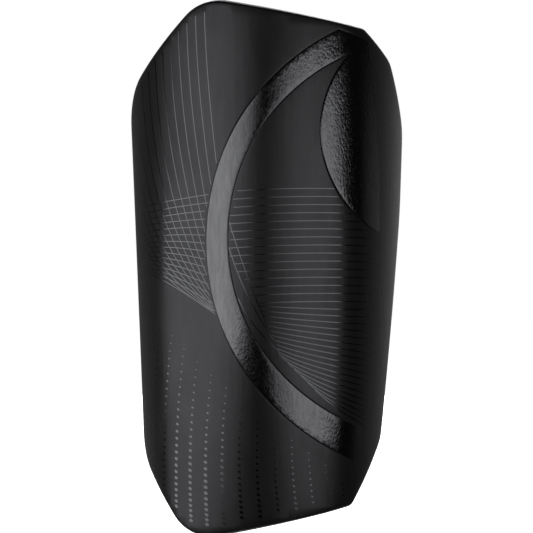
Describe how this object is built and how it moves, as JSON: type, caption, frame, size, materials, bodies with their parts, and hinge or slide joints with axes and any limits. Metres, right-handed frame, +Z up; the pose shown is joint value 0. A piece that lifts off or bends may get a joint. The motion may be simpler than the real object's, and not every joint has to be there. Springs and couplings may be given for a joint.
{
  "type": "shin guard",
  "caption": "Curved slip-in football shin guard: matte hard shell with a raised gloss arc and leaf, foam backing, soft cushions and a knitted lining.",
  "frame": {"origin": "on the lining's leg face, in the channel between the cushions, half-way up the shinbone", "axes": "+Z up the shin as worn, +Y from the shell towards the leg, +X to the right as seen from in front"},
  "size_m": [0.1161, 0.0443, 0.2241],
  "materials": {
    "black_shell": "soft matte moulded shell with tone-on-tone gloss print",
    "black_gloss": "gloss with a fine crinkle",
    "foam_charcoal": "closed-cell EVA foam skin",
    "cushion_grey": "soft open foam",
    "lining_black": "knitted polyester mesh"
  },
  "bodies": {
    "root": {"outer_shell": "black_shell", "gloss_overlay": "black_gloss", "foam_backing": "foam_charcoal", "cushion_left": "cushion_grey", "cushion_right": "cushion_grey", "lining": "lining_black"}
  },
  "joints": []
}
